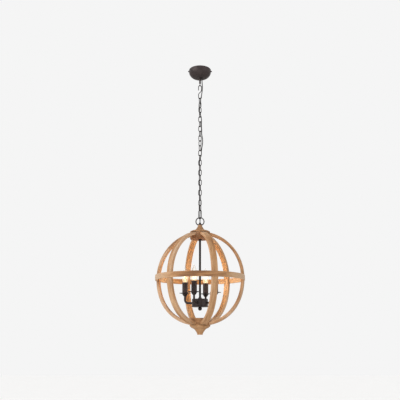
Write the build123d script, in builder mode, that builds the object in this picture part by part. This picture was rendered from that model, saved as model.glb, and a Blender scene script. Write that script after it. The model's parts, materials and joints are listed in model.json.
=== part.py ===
from build123d import *
import os
from math import cos, pi, radians, sin, tan

# Orb chandelier, millimetres, +Z up. The origin is on the ceiling plane, at the middle of the
# canopy's open face. The front, as photographed, looks along +Y.

# ---------------------------------------------------------------- ceiling canopy
canopy_radius = 61.0
canopy_depth = 48.0
canopy_lip = 10.0          # straight wall below the ceiling
canopy_flat_radius = 16.5  # flat under the dome, where stem and cord come out
canopy_wall = 1.2

strap_width = 20.0
strap_thickness = 2.0
strap_ear_drop = 12.0
strap_wall_gap = 1.8       # from the ears to the canopy's inner wall
box_hole_spacing = 69.85   # outlet box screws, 2.75 in apart
box_screw_diameter = 4.0

side_screw_diameter = 4.0
side_screw_depth = 6.5     # below the ceiling
side_screw_head_diameter = 7.0
side_screw_head_length = 5.5
side_screw_reach = 4.0     # past the inside of the strap's ear
side_screw_chamfer = 0.8

stem_diameter = 10.0
stem_length = 32.0
shank_diameter = 9.5
nut_across_flats = 12.0
nut_height = 5.5
eye_inner_radius = 6.0     # eye under the stem
eye_wire = 4.0

bushing_offset = 10.9      # cord bushing, beside the stem
bushing_flange_diameter = 10.0
bushing_flange_height = 2.5
bushing_body_diameter = 8.0
bushing_rise = 4.0         # above the flange, through the canopy

# ---------------------------------------------------------------- hook and chain
hook_wire = 4.0
hook_width = 16.0          # between the centres of its two sides
hook_height = 79.3         # from its top bar to its bottom bar, centre to centre
hook_side_radius = 7.9
hook_cross_radius = 9.0
hook_cross_top = 32.5      # where the wire starts to cross, below the top bar
hook_cross_bottom = 51.0   # where it has crossed, below the top bar
hook_end_drop = 29.0       # free end of the upper half, below the top bar
hook_end_rise = 22.0       # free end of the lower half, above the bottom bar

link_count = 23
link_wire = 3.8
link_inner_width = 12.0
link_inner_length = 27.9
end_link_wire = 4.0
end_link_inner_width = 15.0
end_link_inner_length = 42.8
hang_gap = 0.3             # between two wires, one hung on the other
orb_eye_gap = 1.5          # the same at the orb's eye, which crosses its link aslant

# How far the chain's pairs of links are turned about the vertical: (link, degrees), with the
# links between two rows turned in even steps. Every other link stands square to this angle.
chain_turns = [(1, -32.0), (4, -66.0), (8, -66.0), (12, -22.0), (20, -20.0), (24, -42.0)]

# ---------------------------------------------------------------- orb
ring_outer_radius = 228.5
ring_thickness = 8.0
ring_height = 27.0
ring_edge_round = 1.5
rib_count = 6
first_rib_angle = -71.5
ring_stand_out = 2.0       # of the ring, past the ribs' outer curve
rib_half_width = ring_outer_radius - ring_stand_out   # outer curve: half its width ...
rib_half_height = 237.6                               # ... and half its height
rib_fullness = {1: 0.5523, -1: 0.60}   # above and below the ring; an ellipse has 0.5523
rib_thickness = 15.0
rib_width = 30.0
rib_edge_round = 1.8
joint_clearance = 0.15     # wood to wood, each side

hub_radius = 51.0
hub_height = 35.0
hub_set_in = 2.6           # hubs' outer faces, inside the ribs' furthest point
hub_outer_face = rib_half_height - hub_set_in         # from the ring's middle plane
hub_inner_face = hub_outer_face - hub_height
hub_edge_round = 1.5
rib_seat_radius = 42.0     # bottom of the notches that take the rib ends
rib_screw_diameter = 3.5
rib_screw_length = 28.0
rib_screw_head_diameter = 7.4
rib_screw_head_height = 2.8
rib_screw_sink = 0.4       # head below the wood
rib_screw_clearance = 0.2

finial_flange_radius = 52.0
top_finial_edge = 4.0      # straight edge of the flange
top_finial_shoulder = (26.0, 12.5)   # radius and height above the hub, where the cone starts
top_finial_neck = (11.6, 33.5)
top_finial_tip = (11.0, 39.0)
bottom_finial_edge = 3.5
bottom_finial_shoulder = (31.0, 17.2)
bottom_finial_neck = (14.2, 40.5)
bottom_finial_tip = (13.6, 46.0)
finial_bulge = 1.8         # how far the flange's slope stands out of a straight line
finial_hollow = 1.3        # how far the cone's side lies inside one
tenon_radius = 11.0        # turned tenon of the bottom finial, in the hub
tenon_length = 22.0

orb_eye_radius = 21.0      # hanging ring, to the middle of its wire
orb_eye_wire = 5.4
eye_centre_rise = 19.4     # above the top finial's tip
eye_gap_angle = 40.0       # the ring's two ends, inside the collar
collar_radius = 10.0
collar_height = 5.5
boss_height = 8.0          # cord boss on the collar, inside the eye
boss_base_radius = 6.6
boss_top_radius = 4.6

rod_diameter = 11.0
rod_bore = 7.4
rod_engagement = 4.0       # of the rod in the collar
rod_nut_across_flats = 16.0
rod_nut_height = 6.5

# ---------------------------------------------------------------- lamp cluster
arm_count = 4
first_arm_angle = -110.8
arm_circle_radius = 82.2
arm_tube = 10.5
arm_bore = 8.0
arm_bend_radius = 18.0
arm_height = -125.0        # horizontal run, from the ring's middle plane
arm_inner_end = 31.0       # from the axis
arm_top = -71.0

body_radius = 40.5
body_top = -105.0
body_bottom = -139.5
body_wall = 1.6
body_corner = 3.0
cover_radius = 41.4
cover_thickness = 6.0
ball_radius = 10.0
ball_engagement = 7.0
ball_seat = 1.0            # flat on the ball, outside the rod's hole

bobeche_height = -77.5     # underside at its middle
bobeche_radius = 29.0
bobeche_thickness = 1.6
bobeche_dish = 2.4
cup_bottom_radius = 7.4
cup_top_radius = 14.0
cup_height = 12.0
cup_rim = 2.2
sleeve_outer_diameter = 28.5
sleeve_wall = 1.6
sleeve_length = 55.0
holder_gap = 0.4           # lampholder inside the sleeve
holder_recess = 3.0        # below the sleeve's top
holder_bore = 12.5         # takes a 12 mm screw cap
holder_bore_depth = 24.0
fit = 0.1                  # clearance of a tube or rod in its hole, each side
overcut = 1.0              # how far a cut starts or ends outside the piece

bulb_cap_diameter = 11.9
bulb_cap_length = 23.0
bulb_base_radius = 8.6
bulb_radius = 17.2
bulb_widest = 30.0         # above the lampholder
bulb_shoulder = (9.4, 62.0)
bulb_tip = (1.6, 82.0)
bulb_seat_gap = 0.3

# ---------------------------------------------------------------- supply cord
cord_diameter = 5.0
cord_fit = 0.3             # in its bushing and in the boss, each side
cord_run_share = 0.45      # of the shorter run beside a bend that its arc takes up

# ---------------------------------------------------------------- heights worked out from these
eye_bottom_z = -canopy_depth - stem_length - 2 * (eye_inner_radius + eye_wire / 2)
hook_top_z = eye_bottom_z + (eye_wire + hook_wire) / 2 + hang_gap
hook_bottom_z = hook_top_z - hook_height


def bar_below(bar_z, wire_above, wire, inner_length):
    """Height of a link's bottom bar, where the link hangs on a bar at bar_z."""
    top = bar_z + (wire_above + wire) / 2 + hang_gap
    return top - inner_length - wire


link_bars = [bar_below(hook_bottom_z, hook_wire, link_wire, link_inner_length)]
for _ in range(link_count - 1):
    link_bars.append(bar_below(link_bars[-1], link_wire, link_wire, link_inner_length))
end_bar_z = bar_below(link_bars[-1], link_wire, end_link_wire, end_link_inner_length)
orb_eye_z = end_bar_z + (end_link_wire + orb_eye_wire) / 2 + orb_eye_gap - orb_eye_radius
ring_z = orb_eye_z - hub_outer_face - top_finial_tip[1] - eye_centre_rise


def chain_angle(number):
    """Angle of a link's plane about the vertical, from +X."""
    turn = chain_turns[-1][1]
    for (low, turn_low), (high, turn_high) in zip(chain_turns, chain_turns[1:]):
        if low <= number <= high:
            turn = turn_low + (turn_high - turn_low) * (number - low) / (high - low)
            break
    return turn + 90.0 * (number % 2)


def upright_plane(angle, z=0.0, radius=0.0):
    """Vertical plane through the axis: its x runs outwards at this angle, its y is up."""
    out = Vector(cos(radians(angle)), sin(radians(angle)), 0)
    return Plane(
        origin=out * radius + Vector(0, 0, z),
        x_dir=out,
        z_dir=Vector(sin(radians(angle)), -cos(radians(angle)), 0),
    )


def across(path, end=0.0):
    """Plane square to a path at one of its ends."""
    return Plane(origin=path @ end, z_dir=path % end)


parts = {}


def keep(builder, name):
    """Name a finished piece."""
    builder.part.label = name
    parts[name] = builder.part


# ================================================================ ceiling canopy
def dome_line(radius, lip, depth, flat_radius):
    """Outline of the dome from the ceiling to its flat, in the XZ plane."""
    Line((radius, 0), (radius, -lip))
    EllipticalCenterArc((flat_radius, -lip), radius - flat_radius, depth - lip, -90, arc_size=90)
    Line((flat_radius, -depth), (0, -depth))


with BuildPart() as canopy:
    with BuildSketch(Plane.XZ):
        with BuildLine():
            dome_line(canopy_radius, canopy_lip, canopy_depth, canopy_flat_radius)
            Line((0, -canopy_depth), (0, 0))
            Line((0, 0), (canopy_radius, 0))
        make_face()
        with BuildLine():
            dome_line(
                canopy_radius - canopy_wall, canopy_lip,
                canopy_depth - canopy_wall, canopy_flat_radius,
            )
            Line((0, canopy_wall - canopy_depth), (0, 0))
            Line((0, 0), (canopy_radius - canopy_wall, 0))
        make_face(mode=Mode.SUBTRACT)
    revolve(axis=Axis.Z)
    with BuildSketch(Plane.XY.offset(-canopy_depth)):
        Circle(shank_diameter / 2 + fit)
        with Locations((bushing_offset, 0)):
            Circle(bushing_body_diameter / 2 + fit)
    extrude(amount=canopy_wall * 2, mode=Mode.SUBTRACT)
    with BuildSketch(Plane.YZ):
        with Locations((0, -side_screw_depth)):
            Circle(side_screw_diameter / 2 + fit)
    extrude(amount=canopy_radius + overcut, both=True, mode=Mode.SUBTRACT)
keep(canopy, "canopy")

ear_x = canopy_radius - canopy_wall - strap_wall_gap
with BuildPart() as mounting_strap:
    with BuildSketch(Plane.XZ):
        with BuildLine():
            Polyline(
                (-ear_x, -strap_ear_drop), (-ear_x, 0), (ear_x, 0), (ear_x, -strap_ear_drop),
                (ear_x - strap_thickness, -strap_ear_drop), (ear_x - strap_thickness, -strap_thickness),
                (strap_thickness - ear_x, -strap_thickness), (strap_thickness - ear_x, -strap_ear_drop),
                close=True,
            )
        make_face()
    extrude(amount=strap_width / 2, both=True)
    with BuildSketch(Plane.XY):
        Circle(shank_diameter / 2 + fit)
        with GridLocations(box_hole_spacing, 0, 2, 1):
            Circle(box_screw_diameter / 2 + fit)
    extrude(amount=-strap_thickness, mode=Mode.SUBTRACT)
    with BuildSketch(Plane.YZ):
        with Locations((0, -side_screw_depth)):
            Circle(side_screw_diameter / 2 + fit)
    extrude(amount=ear_x + overcut, both=True, mode=Mode.SUBTRACT)
keep(mounting_strap, "mounting_strap")

side_screw_inner_x = ear_x - strap_thickness - side_screw_reach
with BuildPart() as canopy_screws:
    for side in (-1, 1):
        with BuildSketch(Plane.YZ.offset(side * side_screw_inner_x)):
            with Locations((0, -side_screw_depth)):
                Circle(side_screw_diameter / 2)
        extrude(amount=side * (canopy_radius - side_screw_inner_x))
        with BuildSketch(Plane.YZ.offset(side * canopy_radius)):
            with Locations((0, -side_screw_depth)):
                Circle(side_screw_head_diameter / 2)
        extrude(amount=side * side_screw_head_length)
    chamfer(canopy_screws.edges().group_by(Axis.X)[0], side_screw_chamfer)
    chamfer(canopy_screws.edges().group_by(Axis.X)[-1], side_screw_chamfer)
keep(canopy_screws, "canopy_screws")

with BuildPart() as canopy_stem:
    with BuildSketch(Plane.XY.offset(-canopy_depth)):
        Circle(stem_diameter / 2)
    extrude(amount=-stem_length)
    with BuildSketch(Plane.XY.offset(-canopy_depth)):
        Circle(shank_diameter / 2)
    extrude(amount=canopy_depth)
    with Locations(Location((0, 0, eye_bottom_z + eye_inner_radius + eye_wire / 2), (0, 90, 0))):
        Torus(eye_inner_radius + eye_wire / 2, eye_wire / 2)
keep(canopy_stem, "canopy_stem")

with BuildPart() as stem_nuts:
    for under in (canopy_wall - canopy_depth, -strap_thickness - nut_height):
        with BuildSketch(Plane.XY.offset(under)):
            RegularPolygon(nut_across_flats / 2, 6, major_radius=False, rotation=30)
            Circle(shank_diameter / 2 + fit, mode=Mode.SUBTRACT)
        extrude(amount=nut_height)
keep(stem_nuts, "stem_nuts")

with BuildPart() as cord_bushing:
    with BuildSketch(Plane.XY.offset(-canopy_depth)):
        with Locations((bushing_offset, 0)):
            Circle(bushing_flange_diameter / 2)
    extrude(amount=-bushing_flange_height)
    with BuildSketch(Plane.XY.offset(-canopy_depth)):
        with Locations((bushing_offset, 0)):
            Circle(bushing_body_diameter / 2)
    extrude(amount=bushing_rise)
    with BuildSketch(Plane.XY.offset(-canopy_depth - bushing_flange_height)):
        with Locations((bushing_offset, 0)):
            Circle(cord_diameter / 2 + cord_fit)
    extrude(amount=bushing_flange_height + bushing_rise, mode=Mode.SUBTRACT)
keep(cord_bushing, "cord_bushing")


# ================================================================ hook and chain
def wire_loop(angle, bottom_bar_z, inner_width, inner_length, wire):
    """Closed oval link whose plane stands at this angle."""
    side = (inner_width + wire) / 2
    straight = (inner_length - inner_width) / 2
    middle = bottom_bar_z + (inner_length + wire) / 2
    with BuildPart() as loop:
        with BuildLine(upright_plane(angle, middle)) as centre_line:
            Line((side, -straight), (side, straight))
            CenterArc((0, straight), side, 0, 180)
            Line((-side, straight), (-side, -straight))
            CenterArc((0, -straight), side, 180, 180)
        path = centre_line.wire()
        with BuildSketch(across(path)):
            Circle(wire / 2)
        sweep(path=path)
    return loop


with BuildPart() as s_hook:
    left = -hook_width / 2
    right = hook_width / 2
    with BuildLine(Plane.XZ) as hook_line:
        FilletPolyline(
            (left, hook_top_z - hook_end_drop),
            (left, hook_top_z),
            (right, hook_top_z),
            (right, hook_top_z - hook_cross_top),
            (left, hook_top_z - hook_cross_bottom),
            (left, hook_bottom_z),
            (right, hook_bottom_z),
            (right, hook_bottom_z + hook_end_rise),
            radius=[hook_side_radius] * 2 + [hook_cross_radius] * 2 + [hook_side_radius] * 2,
        )
    with BuildSketch(across(hook_line.line)):
        Circle(hook_wire / 2)
    sweep(path=hook_line.line)
keep(s_hook, "s_hook")

for number in range(1, link_count + 1):
    chain_link = wire_loop(
        chain_angle(number), link_bars[number - 1], link_inner_width, link_inner_length, link_wire
    )
    keep(chain_link, f"chain_link_{number:02d}")

end_link = wire_loop(
    chain_angle(link_count + 1), end_bar_z, end_link_inner_width, end_link_inner_length, end_link_wire
)
keep(end_link, "end_link")

# ================================================================ top of the orb
top_finial_base_z = ring_z + hub_outer_face
top_finial_top_z = top_finial_base_z + top_finial_tip[1]
rod_top_z = top_finial_top_z + rod_engagement
collar_top_z = top_finial_top_z + collar_height
boss_top_z = collar_top_z + boss_height

with BuildPart() as hanging_eye:
    with BuildLine(Plane.XZ) as eye_line:
        CenterArc(
            (0, orb_eye_z), orb_eye_radius, eye_gap_angle / 2 - 90, 360 - eye_gap_angle
        )
    with BuildSketch(across(eye_line.line)):
        Circle(orb_eye_wire / 2)
    sweep(path=eye_line.line)
    split(bisect_by=Plane.XY.offset(top_finial_top_z), keep=Keep.TOP)
    with BuildSketch(Plane.XY.offset(top_finial_top_z)):
        Circle(collar_radius)
    extrude(amount=collar_height)
    with BuildSketch(Plane.XY.offset(collar_top_z)):
        Circle(boss_base_radius)
    with BuildSketch(Plane.XY.offset(boss_top_z)):
        Circle(boss_top_radius)
    loft()
    with BuildSketch(Plane.XY.offset(top_finial_top_z)):
        Circle(cord_diameter / 2 + cord_fit)
    extrude(amount=boss_top_z - top_finial_top_z, mode=Mode.SUBTRACT)
    with BuildSketch(Plane.XY.offset(top_finial_top_z)):
        Circle(rod_diameter / 2 + fit)
    extrude(amount=rod_engagement, mode=Mode.SUBTRACT)
keep(hanging_eye, "hanging_eye")


def finial_face(direction, edge, shoulder, neck, tip, inner_radius):
    """Half section of a turned finial: flange, bulged slope, hollow cone and tip."""
    base = ring_z + direction * hub_outer_face
    with BuildSketch(Plane.XZ) as section:
        with BuildLine():
            slope_start = (finial_flange_radius, base + direction * edge)
            slope_end = (shoulder[0], base + direction * shoulder[1])
            cone_end = (neck[0], base + direction * neck[1])
            tip_end = (tip[0], base + direction * tip[1])
            Line((inner_radius, base), (finial_flange_radius, base))
            Line((finial_flange_radius, base), slope_start)
            SagittaArc(slope_start, slope_end, -direction * finial_bulge)
            SagittaArc(slope_end, cone_end, direction * finial_hollow)
            Line(cone_end, tip_end)
            Line(tip_end, (inner_radius, tip_end[1]))
            Line((inner_radius, tip_end[1]), (inner_radius, base))
        make_face()
    return section


with BuildPart() as top_finial:
    top_section = finial_face(
        1, top_finial_edge, top_finial_shoulder, top_finial_neck, top_finial_tip, rod_diameter / 2 + fit
    )
    revolve(top_section.sketch, axis=Axis.Z)
keep(top_finial, "top_finial")


# ================================================================ hubs and ribs
def rib_curve(direction, inset=0.0):
    """The four Bezier points of a rib's quarter, from the ring up or down to the axis."""
    width = rib_half_width - inset
    height = direction * (rib_half_height - inset)
    fullness = rib_fullness[direction]
    return (width, 0), (width, fullness * height), (fullness * width, height), (0, height)


def rib_height(radius, direction, inset=0.0):
    """Distance of the rib's outer or inner curve from the ring's middle plane."""
    curve = Bezier(*rib_curve(direction, inset))
    low = 0.0
    high = 1.0
    for _ in range(50):
        middle = (low + high) / 2
        if (curve @ middle).X > radius:
            low = middle
        else:
            high = middle
    return abs((curve @ low).Y)


rib_angles = [first_rib_angle + 360.0 / rib_count * number for number in range(rib_count)]
rib_screw_radius = (rib_seat_radius + hub_radius) / 2
rib_screw_top = {}
notch_floor = {}
for direction in (-1, 1):
    rib_screw_top[direction] = rib_height(rib_screw_radius, direction) - rib_screw_sink
    notch_floor[direction] = rib_height(hub_radius, direction, rib_thickness) - joint_clearance
hub_plane_z = {1: ring_z + hub_inner_face, -1: ring_z - hub_outer_face}


def screw_plane(angle, direction):
    """Plane on the head of a rib screw, facing into the wood."""
    head_z = ring_z + direction * rib_screw_top[direction]
    spot = upright_plane(angle, head_z, rib_screw_radius).origin
    return Plane(origin=spot, z_dir=(0, 0, -direction))


def hub_block(direction, bore_radius):
    """Round hub with a notch for each rib end; direction is 1 for the top, -1 for the bottom."""
    with BuildPart() as hub:
        with BuildSketch(Plane.XY.offset(hub_plane_z[direction])):
            Circle(hub_radius)
        extrude(amount=hub_outer_face - hub_inner_face)
        circles = hub.edges().filter_by(GeomType.CIRCLE).sort_by(Axis.Z)
        fillet(circles[0] if direction > 0 else circles[-1], hub_edge_round)
        notch_middle = (
            rib_seat_radius + hub_radius / 2, direction * (notch_floor[direction] + hub_radius / 2)
        )
        for angle in rib_angles:
            with BuildSketch(upright_plane(angle, ring_z)):
                with Locations(notch_middle):
                    Rectangle(hub_radius, hub_radius)
            extrude(amount=rib_width / 2 + joint_clearance, both=True, mode=Mode.SUBTRACT)
            with BuildSketch(screw_plane(angle, direction)):
                Circle(rib_screw_diameter / 2 + rib_screw_clearance)
            extrude(amount=rib_screw_length, mode=Mode.SUBTRACT)
        with BuildSketch(Plane.XY.offset(hub_plane_z[direction])):
            Circle(bore_radius)
        extrude(amount=hub_outer_face - hub_inner_face, mode=Mode.SUBTRACT)
    return hub


top_hub = hub_block(1, rod_diameter / 2 + fit)
keep(top_hub, "top_hub")
bottom_hub = hub_block(-1, tenon_radius + fit)
keep(bottom_hub, "bottom_hub")

with BuildPart() as bottom_finial:
    bottom_section = finial_face(
        -1, bottom_finial_edge, bottom_finial_shoulder, bottom_finial_neck, bottom_finial_tip, 0.0
    )
    revolve(bottom_section.sketch, axis=Axis.Z)
    with BuildSketch(Plane.XY.offset(ring_z - hub_outer_face)):
        Circle(tenon_radius)
    extrude(amount=tenon_length)
keep(bottom_finial, "bottom_finial")

for number, angle in enumerate(rib_angles, 1):
    plane = upright_plane(angle, ring_z)
    with BuildPart() as rib:
        with BuildSketch(plane.offset(-rib_width / 2)):
            with BuildLine():
                for direction in (-1, 1):
                    outer = Bezier(*rib_curve(direction))
                    inner = Bezier(*rib_curve(direction, rib_thickness))
                    Line(outer @ 1, inner @ 1)
            make_face()
            with Locations((rib_seat_radius + rib_half_width / 2, 0)):
                Rectangle(rib_half_width, 3 * rib_half_height, mode=Mode.INTERSECT)
        extrude(amount=rib_width)
        fillet(rib.edges().filter_by(lambda edge: edge.length > rib_half_height), rib_edge_round)
        with BuildSketch(Plane.XY.offset(ring_z - ring_height / 2 - joint_clearance)):
            Circle(ring_outer_radius)
            Circle(ring_outer_radius - ring_thickness - joint_clearance, mode=Mode.SUBTRACT)
        extrude(amount=ring_height + 2 * joint_clearance, mode=Mode.SUBTRACT)
        for direction in (-1, 1):
            with BuildSketch(screw_plane(angle, direction)):
                Circle(rib_screw_diameter / 2 + rib_screw_clearance)
            extrude(amount=rib_screw_length, mode=Mode.SUBTRACT)
            with BuildSketch(screw_plane(angle, direction).offset(rib_screw_head_height)):
                Circle(rib_screw_head_diameter / 2 + rib_screw_clearance)
            extrude(amount=-rib_thickness, mode=Mode.SUBTRACT)
    keep(rib, f"rib_{number}")

with BuildPart() as rib_screws:
    for angle in rib_angles:
        for direction in (-1, 1):
            with BuildSketch(screw_plane(angle, direction)):
                Circle(rib_screw_diameter / 2)
            extrude(amount=rib_screw_length - rib_screw_clearance)
            with BuildSketch(screw_plane(angle, direction)):
                Circle(rib_screw_head_diameter / 2)
            extrude(amount=rib_screw_head_height - rib_screw_clearance)
keep(rib_screws, "rib_screws")

with BuildPart() as equator_ring:
    with BuildSketch(Plane.XY.offset(ring_z - ring_height / 2)):
        Circle(ring_outer_radius)
        Circle(ring_outer_radius - ring_thickness, mode=Mode.SUBTRACT)
    extrude(amount=ring_height)
    fillet(equator_ring.edges().filter_by(GeomType.CIRCLE), ring_edge_round)
keep(equator_ring, "equator_ring")

# ================================================================ lamp cluster
rod_bottom_z = ring_z + body_bottom - cover_thickness - ball_engagement
with BuildPart() as center_rod:
    with BuildSketch(Plane.XY.offset(rod_bottom_z)):
        Circle(rod_diameter / 2)
        Circle(rod_bore / 2, mode=Mode.SUBTRACT)
    extrude(amount=rod_top_z - rod_bottom_z)
keep(center_rod, "center_rod")

with BuildPart() as rod_nuts:
    under_hub = ring_z + hub_inner_face - rod_nut_height
    above_body = ring_z + body_top
    inside_body = ring_z + body_top - body_wall - rod_nut_height
    for under in (under_hub, above_body, inside_body):
        with BuildSketch(Plane.XY.offset(under)):
            RegularPolygon(rod_nut_across_flats / 2, 6, major_radius=False)
            Circle(rod_diameter / 2 + fit, mode=Mode.SUBTRACT)
        extrude(amount=rod_nut_height)
keep(rod_nuts, "rod_nuts")

arm_angles = [first_arm_angle + 360.0 / arm_count * number for number in range(arm_count)]
with BuildPart() as cluster_body:
    with BuildSketch(Plane.XY.offset(ring_z + body_top)):
        Circle(body_radius)
    extrude(amount=body_bottom - body_top)
    fillet(cluster_body.edges().filter_by(GeomType.CIRCLE).sort_by(Axis.Z)[-1], body_corner)
    with BuildSketch(Plane.XY.offset(ring_z + body_top - body_wall)):
        Circle(body_radius - body_wall)
    extrude(amount=body_bottom - body_top, mode=Mode.SUBTRACT)
    with BuildSketch(Plane.XY.offset(ring_z + body_top)):
        Circle(rod_diameter / 2 + fit)
    extrude(amount=-2 * body_wall, mode=Mode.SUBTRACT)
    for angle in arm_angles:
        hole_axis = Plane(
            origin=(0, 0, ring_z + arm_height), z_dir=upright_plane(angle).x_dir
        )
        with BuildSketch(hole_axis):
            Circle(arm_tube / 2 + fit)
        extrude(amount=body_radius + overcut, mode=Mode.SUBTRACT)
keep(cluster_body, "cluster_body")

with BuildPart() as cluster_cover:
    with BuildSketch(Plane.XY.offset(ring_z + body_bottom)):
        Circle(cover_radius)
        Circle(rod_diameter / 2 + fit, mode=Mode.SUBTRACT)
    extrude(amount=-cover_thickness)
    outer_edges = cluster_cover.edges().filter_by(GeomType.CIRCLE).group_by(SortBy.RADIUS)[-1]
    fillet(outer_edges, cover_thickness / 4)
keep(cluster_cover, "cluster_cover")

with BuildPart() as ball_finial:
    ball_top_z = ring_z + body_bottom - cover_thickness
    flat_drop = ball_radius - (ball_radius ** 2 - (rod_diameter / 2 + ball_seat) ** 2) ** 0.5
    with Locations((0, 0, ball_top_z + flat_drop - ball_radius)):
        Sphere(ball_radius)
    split(bisect_by=Plane.XY.offset(ball_top_z), keep=Keep.BOTTOM)
    with BuildSketch(Plane.XY.offset(ball_top_z)):
        Circle(rod_diameter / 2 + fit)
    extrude(amount=-ball_engagement - fit, mode=Mode.SUBTRACT)
keep(ball_finial, "ball_finial")

with BuildPart() as arms:
    for angle in arm_angles:
        with BuildLine(upright_plane(angle, ring_z)) as arm_line:
            FilletPolyline(
                (arm_inner_end, arm_height), (arm_circle_radius, arm_height), (arm_circle_radius, arm_top),
                radius=arm_bend_radius,
            )
        with BuildSketch(across(arm_line.line)):
            Circle(arm_tube / 2)
            Circle(arm_bore / 2, mode=Mode.SUBTRACT)
        sweep(path=arm_line.line)
keep(arms, "arms")


def on_arms(outline):
    """Turn one half section, given as (radius, height) points, on the end of every arm."""
    with BuildPart() as pieces:
        for angle in arm_angles:
            with BuildSketch(upright_plane(angle, ring_z, arm_circle_radius)):
                with BuildLine():
                    Polyline(*outline, close=True)
                make_face()
            spot = upright_plane(angle, ring_z, arm_circle_radius).origin
            revolve(axis=Axis(spot, (0, 0, 1)))
    return pieces


tube_hole = arm_tube / 2 + fit
candle_cups = on_arms([
    (tube_hole, bobeche_height - cup_height),
    (cup_bottom_radius, bobeche_height - cup_height),
    (cup_top_radius, bobeche_height - cup_rim),
    (cup_top_radius, bobeche_height),
    (tube_hole, bobeche_height),
])
keep(candle_cups, "candle_cups")

bobeches = on_arms([
    (tube_hole, bobeche_height),
    (cup_top_radius, bobeche_height),
    (bobeche_radius, bobeche_height + bobeche_dish),
    (bobeche_radius, bobeche_height + bobeche_dish + bobeche_thickness),
    (cup_top_radius, bobeche_height + bobeche_thickness),
    (tube_hole, bobeche_height + bobeche_thickness),
])
keep(bobeches, "bobeches")

sleeve_foot = bobeche_height + bobeche_thickness
sleeve_radius = sleeve_outer_diameter / 2
sleeve_slope = bobeche_dish / (bobeche_radius - cup_top_radius)
sleeve_lift = max(0.0, (sleeve_radius - cup_top_radius) * sleeve_slope)
sleeve_bottom = sleeve_foot + sleeve_lift
sleeve_top = sleeve_foot + sleeve_length
candle_sleeves = on_arms([
    (sleeve_radius - sleeve_wall, sleeve_bottom),
    (sleeve_radius, sleeve_bottom),
    (sleeve_radius, sleeve_top),
    (sleeve_radius - sleeve_wall, sleeve_top),
])
keep(candle_sleeves, "candle_sleeves")

holder_top = sleeve_top - holder_recess
holder_radius = sleeve_radius - sleeve_wall - holder_gap
lampholders = on_arms([
    (tube_hole, sleeve_foot),
    (holder_radius, sleeve_foot),
    (holder_radius, holder_top),
    (holder_bore / 2, holder_top),
    (holder_bore / 2, holder_top - holder_bore_depth),
    (0, holder_top - holder_bore_depth),
    (0, arm_top + fit),
    (tube_hole, arm_top + fit),
])
keep(lampholders, "lampholders")

glass_foot = holder_top + bulb_seat_gap
for number, angle in enumerate(arm_angles, 1):
    with BuildPart() as bulb:
        with BuildSketch(upright_plane(angle, ring_z, arm_circle_radius)):
            with BuildLine():
                cap_foot = (bulb_cap_diameter / 2, glass_foot - bulb_cap_length)
                cap_top = (bulb_cap_diameter / 2, glass_foot)
                base = (bulb_base_radius, glass_foot)
                widest = (bulb_radius, glass_foot + bulb_widest)
                shoulder = (bulb_shoulder[0], glass_foot + bulb_shoulder[1])
                tip = (bulb_tip[0], glass_foot + bulb_tip[1])
                Line((0, cap_foot[1]), cap_foot)
                Line(cap_foot, cap_top)
                Line(cap_top, base)
                TangentArc(base, widest, tangent=(0, -1), tangent_from_first=False)
                upper = TangentArc(widest, shoulder, tangent=(0, 1))
                TangentArc(shoulder, tip, tangent=upper % 1)
                Line(tip, (0, tip[1]))
                Line((0, tip[1]), (0, cap_foot[1]))
            make_face()
        spot = upright_plane(angle, ring_z, arm_circle_radius).origin
        revolve(axis=Axis(spot, (0, 0, 1)))
    keep(bulb, f"bulb_{number}")

# ================================================================ supply cord
cord_route = [
    (14.0, 8.0, -20.0), (10.9, 0.0, -36.0), (11.3, -0.2, -72.0), (13.4, -1.0, -98.0),
    (12.8, -2.0, -120.0), (10.0, -6.0, -144.0), (5.5, -8.0, -168.0), (1.2, -7.6, -190.0),
    (0.4, -8.2, -212.0), (-1.2, -8.4, -232.0), (-4.0, -8.0, -253.0), (1.0, -2.4, -265.0),
    (7.4, -2.2, -280.0), (8.2, -2.8, -304.0), (7.2, -3.2, -328.0), (9.6, -3.4, -354.0),
    (8.6, -1.4, -379.0), (14.0, -1.6, -404.0), (14.4, -0.2, -430.0), (10.4, 1.0, -452.0),
    (7.4, 3.6, -474.0), (7.4, 3.4, -499.0), (1.0, 2.0, -514.0), (-3.4, 7.2, -529.0),
    (-2.4, 8.4, -550.0), (-3.4, 7.0, -574.0), (-2.2, 8.4, -600.0), (-3.8, 6.8, -628.0),
    (-2.2, 8.6, -656.0), (-1.8, 9.2, -684.0), (-3.0, 6.8, -712.0), (-1.8, 8.6, -738.0),
    (0.2, 9.0, -762.0), (-1.8, 7.4, -786.0), (0.6, 8.8, -808.0), (-0.6, 9.0, -830.0),
    (0.0, 7.2, -849.0), (0.0, 0.0, -862.0), (0.0, 0.2, -875.5), (0.0, 0.0, -888.0),
]


def bend_radius(before, corner, after):
    """Radius of the arc that takes up its share of the shorter run beside a corner."""
    run_in = corner - before
    run_out = after - corner
    half_turn = radians(run_in.get_angle(run_out)) / 2
    return cord_run_share * min(run_in.length, run_out.length) / tan(half_turn)


corners = [Vector(*point) for point in cord_route]
cord_radii = [bend_radius(*three) for three in zip(corners, corners[1:], corners[2:])]
with BuildPart() as supply_cord:
    with BuildLine() as cord_line:
        FilletPolyline(*corners, radius=cord_radii)
    with BuildSketch(across(cord_line.line)):
        Circle(cord_diameter / 2)
    sweep(path=cord_line.line)
keep(supply_cord, "supply_cord")
cord_length = cord_line.wire().length
cord_section = pi * cord_diameter ** 2 / 4
print("cord radii", [round(radius) for radius in cord_radii])
print("cord length", round(cord_length), "volume over section times length",
      round(supply_cord.part.volume / (cord_section * cord_length), 4))

# ================================================================ files
os.makedirs("parts", exist_ok=True)
for name, part in parts.items():
    export_step(part, f"parts/{name}.step")
print(len(parts), "pieces, ring plane at", round(ring_z, 1))
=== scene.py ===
import json
from math import atan2, cos, pi, radians, sin

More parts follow.
